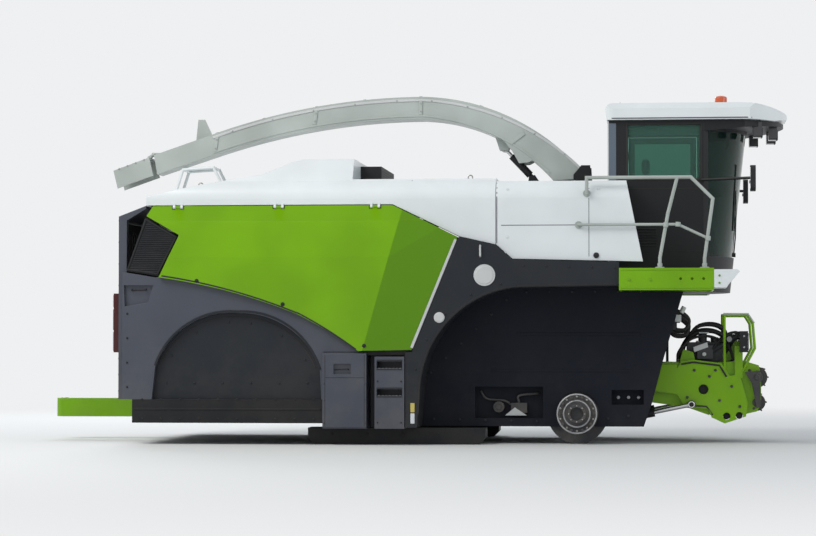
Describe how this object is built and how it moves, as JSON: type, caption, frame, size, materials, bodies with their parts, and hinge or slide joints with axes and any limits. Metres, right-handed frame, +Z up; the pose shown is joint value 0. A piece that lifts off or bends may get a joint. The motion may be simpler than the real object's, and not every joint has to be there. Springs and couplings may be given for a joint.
{
  "type": "forage harvester without its wheels or tracks",
  "caption": "Self-propelled forage harvester with a long curved discharge spout, glazed cab, side platforms and hinged engine panels, parked low without wheels or tracks.",
  "frame": {"origin": "on the floor under the middle of the machine's box", "axes": "+X forward, along the machine; +Y to its left; +Z up"},
  "size_m": [7.54, 3, 3.51],
  "materials": {
    "lime_paint": "semi-gloss enamel",
    "white_paint": "semi-gloss enamel",
    "spout_paint": "weathered semi-gloss enamel",
    "grey_paint": "satin enamel",
    "dark_panel": "moulded, matt",
    "black_frame": "satin chassis paint",
    "dark_mesh": "matt black",
    "cast_drive": "painted casting",
    "bare_steel": "bright rod",
    "cab_glass": "green-tinted",
    "seat_fabric": "woven",
    "black_plastic": "grained",
    "lamp_lens": "clear lens in black case",
    "amber_lens": "translucent",
    "red_lens": "translucent"
  },
  "bodies": {
    "chassis": {"chassis_frame": "black_frame", "body_frame": "black_frame", "belly_tray": "black_frame", "belly_skids": "black_frame", "front_axle": "cast_drive", "engine_block": "cast_drive", "chute_tower": "dark_panel", "hitch_beam": "lime_paint", "rear_wall": "grey_paint", "rear_lamps": "red_lens", "hood_top": "white_paint", "hood_box": "dark_mesh", "front_body": "white_paint", "side_grilles": "dark_mesh", "rear_fender_right": "grey_paint", "rear_fender_left": "grey_paint", "arch_panels": "dark_panel", "side_boxes": "grey_paint", "step_boxes": "grey_paint", "front_fender_right": "dark_panel", "front_fender_left": "dark_panel", "inner_walls": "dark_panel", "platform_right": "lime_paint", "platform_left": "lime_paint", "platform_ends": "white_paint", "railings": "spout_paint", "cab_base": "black_frame", "cab_shell": "black_frame", "cab_roof": "white_paint", "windscreen": "cab_glass", "cab_windows": "cab_glass", "seat": "seat_fabric", "seat_base": "black_plastic", "steering_column": "black_plastic", "beacon": "amber_lens", "work_lamps": "lamp_lens", "mirrors": "black_plastic", "spout_rest": "white_paint", "front_valves": "black_frame"},
    "hub_right": {"hub_right": "cast_drive"},
    "hub_left": {"hub_left": "cast_drive"},
    "side_panel_right": {"side_panel_right": "lime_paint"},
    "side_panel_left": {"side_panel_left": "lime_paint"},
    "rear_door": {"rear_door": "dark_mesh"},
    "cab_door": {"cab_door": "black_frame", "door_glass": "cab_glass"},
    "steering_wheel": {"steering_wheel": "black_plastic"},
    "turret": {"turret": "black_frame"},
    "spout": {"spout": "spout_paint"},
    "spout_flap": {"spout_flap": "spout_paint"},
    "lift_barrel": {"lift_barrel": "black_frame"},
    "lift_rod": {"lift_rod": "bare_steel"},
    "intake": {"intake_housing": "lime_paint"},
    "feed_roller_upper": {"feed_roller_upper": "cast_drive"},
    "feed_roller_lower": {"feed_roller_lower": "cast_drive"},
    "intake_barrel_right": {"intake_barrel_right": "black_frame"},
    "intake_barrel_left": {"intake_barrel_left": "black_frame"},
    "intake_rod_right": {"intake_rod_right": "bare_steel"},
    "intake_rod_left": {"intake_rod_left": "bare_steel"},
    "ladder": {"ladder": "black_frame"}
  },
  "joints": [
    {"name": "hub_right_spin", "type": "hinge", "parent": "chassis", "child": "hub_right", "pos_m": [1.67, -1, 0.3], "axis": [0, 1, 0], "continuous": true},
    {"name": "hub_left_spin", "type": "hinge", "parent": "chassis", "child": "hub_left", "pos_m": [1.67, 1, 0.3], "axis": [0, 1, 0], "continuous": true},
    {"name": "side_panel_right_hinge", "type": "hinge", "parent": "chassis", "child": "side_panel_right", "pos_m": [-1.23, -1.425, 2.325], "axis": [-1, 0, 0], "range_deg": [0, 85]},
    {"name": "side_panel_left_hinge", "type": "hinge", "parent": "chassis", "child": "side_panel_left", "pos_m": [-1.23, 1.425, 2.325], "axis": [1, 0, 0], "range_deg": [0, 85]},
    {"name": "rear_door_hinge", "type": "hinge", "parent": "chassis", "child": "rear_door", "pos_m": [-2.85, 1.3, 1.57], "axis": [0, 0, -1], "range_deg": [0, 100]},
    {"name": "cab_door_hinge", "type": "hinge", "parent": "chassis", "child": "cab_door", "pos_m": [2.14, 0.82, 2.45], "axis": [0, 0, 1], "range_deg": [0, 90]},
    {"name": "steering_wheel_spin", "type": "hinge", "parent": "chassis", "child": "steering_wheel", "pos_m": [2.91, 0, 2.42], "axis": [-0.2306, 0, 0.973], "continuous": true},
    {"name": "turret_slew", "type": "hinge", "parent": "chassis", "child": "turret", "pos_m": [1.57, 0, 2.6], "axis": [0, 0, 1], "range_deg": [-95, 95]},
    {"name": "spout_lift", "type": "hinge", "parent": "turret", "child": "spout", "pos_m": [1.73, 0, 2.745], "axis": [0, 1, 0], "range_deg": [0, 20]},
    {"name": "spout_flap_hinge", "type": "hinge", "parent": "spout", "child": "spout_flap", "pos_m": [-2.752, 0, 2.95], "axis": [0, -1, 0], "range_deg": [0, 45]},
    {"name": "lift_barrel_pivot", "type": "hinge", "parent": "turret", "child": "lift_barrel", "pos_m": [1.19, 0, 2.68], "axis": [0, 1, 0], "range_deg": [0, 28.29]},
    {"name": "lift_rod_slide", "type": "slide", "parent": "lift_barrel", "child": "lift_rod", "axis": [-0.6891, 0, 0.7247], "range_m": [0, 0.1753]},
    {"name": "intake_lift", "type": "hinge", "parent": "chassis", "child": "intake", "pos_m": [2.09, 0, 0.66], "axis": [0, -1, 0], "range_deg": [0, 10]},
    {"name": "feed_roller_upper_spin", "type": "hinge", "parent": "intake", "child": "feed_roller_upper", "pos_m": [3.44, 0, 0.65], "axis": [0, 1, 0], "continuous": true},
    {"name": "feed_roller_lower_spin", "type": "hinge", "parent": "intake", "child": "feed_roller_lower", "pos_m": [3.44, 0, 0.4], "axis": [0, 1, 0], "continuous": true},
    {"name": "ladder_swing", "type": "hinge", "parent": "chassis", "child": "ladder", "pos_m": [2.6, 1.44, 1.375], "axis": [0, 0, -1], "range_deg": [0, 90]},
    {"name": "intake_barrel_right_pivot", "type": "hinge", "parent": "chassis", "child": "intake_barrel_right", "pos_m": [1.87, -0.56, 0.19], "axis": [0, -1, 0], "range_deg": [0, 6.68]},
    {"name": "intake_rod_right_slide", "type": "slide", "parent": "intake_barrel_right", "child": "intake_rod_right", "axis": [0.9793, 0, 0.2023], "range_m": [0, 0.0698]},
    {"name": "intake_barrel_left_pivot", "type": "hinge", "parent": "chassis", "child": "intake_barrel_left", "pos_m": [1.87, 0.56, 0.19], "axis": [0, -1, 0], "range_deg": [0, 6.68]},
    {"name": "intake_rod_left_slide", "type": "slide", "parent": "intake_barrel_left", "child": "intake_rod_left", "axis": [0.9793, 0, 0.2023], "range_m": [0, 0.0698]}
  ],
  "couplings": [
    {"joint": "lift_barrel_pivot", "follows": "spout_lift", "ratio": 1.4094},
    {"joint": "lift_rod_slide", "follows": "spout_lift", "m_per_rad": 0.50087},
    {"joint": "intake_barrel_right_pivot", "follows": "intake_lift", "ratio": 0.65764},
    {"joint": "intake_rod_right_slide", "follows": "intake_lift", "m_per_rad": 0.39697},
    {"joint": "intake_barrel_left_pivot", "follows": "intake_lift", "ratio": 0.65764},
    {"joint": "intake_rod_left_slide", "follows": "intake_lift", "m_per_rad": 0.39697}
  ]
}
